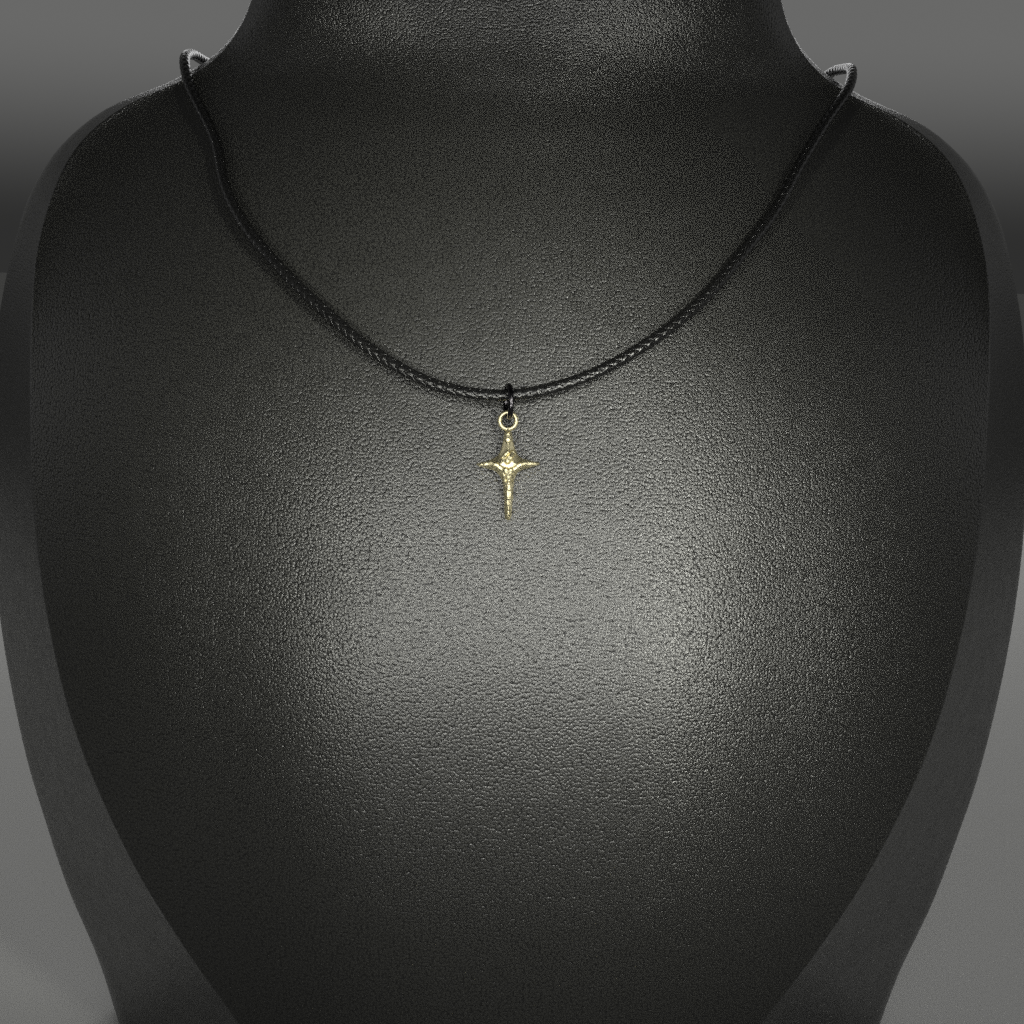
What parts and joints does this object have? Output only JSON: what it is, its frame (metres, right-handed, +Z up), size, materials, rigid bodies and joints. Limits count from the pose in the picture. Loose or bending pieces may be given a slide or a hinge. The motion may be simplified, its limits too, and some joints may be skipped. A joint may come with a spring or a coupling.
{
  "type": "cross pendant necklace on a neck bust",
  "caption": "Small gold cross pendant with a raised figure, hung by a black jump ring on a black braided cord round a black leatherette neck bust with a flat back.",
  "frame": {"origin": "middle of the bust's base, on the surface that it stands on", "axes": "+Z up along the neck, -Y the front with the pendant, +X to the right seen from the front"},
  "size_m": [0.21, 0.0948, 0.245],
  "materials": {
    "leatherette": "fine pebble grain, half matt",
    "braid": "waxed round braid",
    "black_metal": "black plated, polished",
    "gold": "pale gold, polished"
  },
  "bodies": {
    "root": {"bust": "leatherette", "cord": "braid", "clasp": "black_metal", "jump_ring": "black_metal", "cross_pendant": "gold"}
  },
  "joints": []
}
